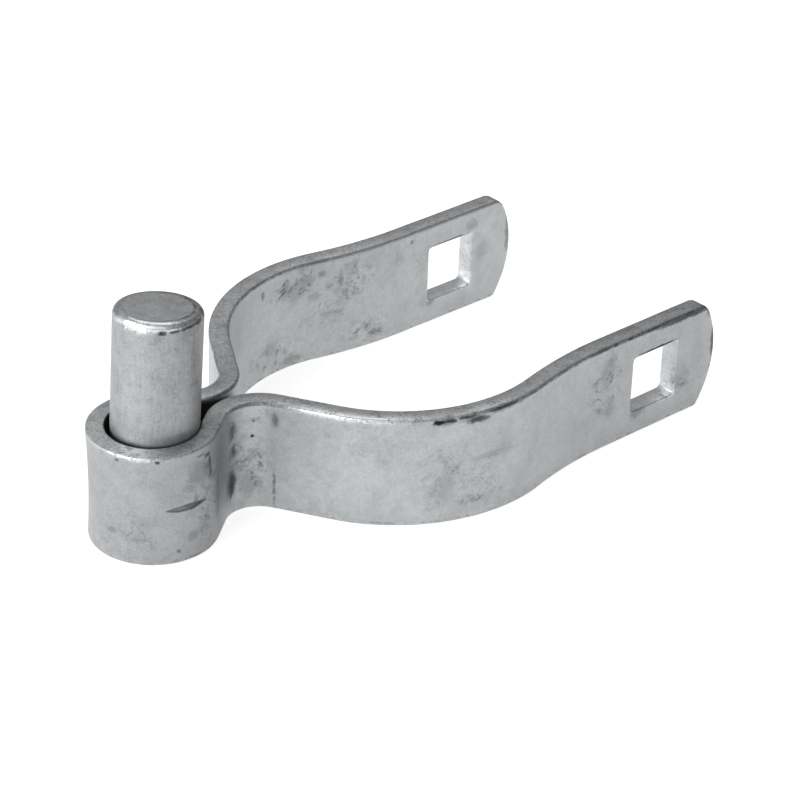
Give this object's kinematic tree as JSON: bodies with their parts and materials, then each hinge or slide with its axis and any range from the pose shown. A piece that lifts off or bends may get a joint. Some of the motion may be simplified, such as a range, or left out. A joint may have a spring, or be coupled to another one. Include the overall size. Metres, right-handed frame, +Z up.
{
  "type": "fence post hinge",
  "caption": "Galvanised steel post hinge: a flat bar folded round an upright pin and pinched to a neck, with wings that clasp a tubular fence post and square holes for a carriage bolt.",
  "frame": {"origin": "on the eye's upright axis, level with the top of the eye, where a gate's eye comes to rest", "axes": "+Z up along the eye's axis, +X from the eye to the post"},
  "size_m": [0.1243, 0.068, 0.0465],
  "materials": {
    "strap_zinc": "hot-dip galvanised, dull and water-stained",
    "pin_zinc": "hot-dip galvanised, a shade duller than the strap"
  },
  "bodies": {
    "root": {"strap": "strap_zinc", "hinge_pin": "pin_zinc"}
  },
  "joints": []
}
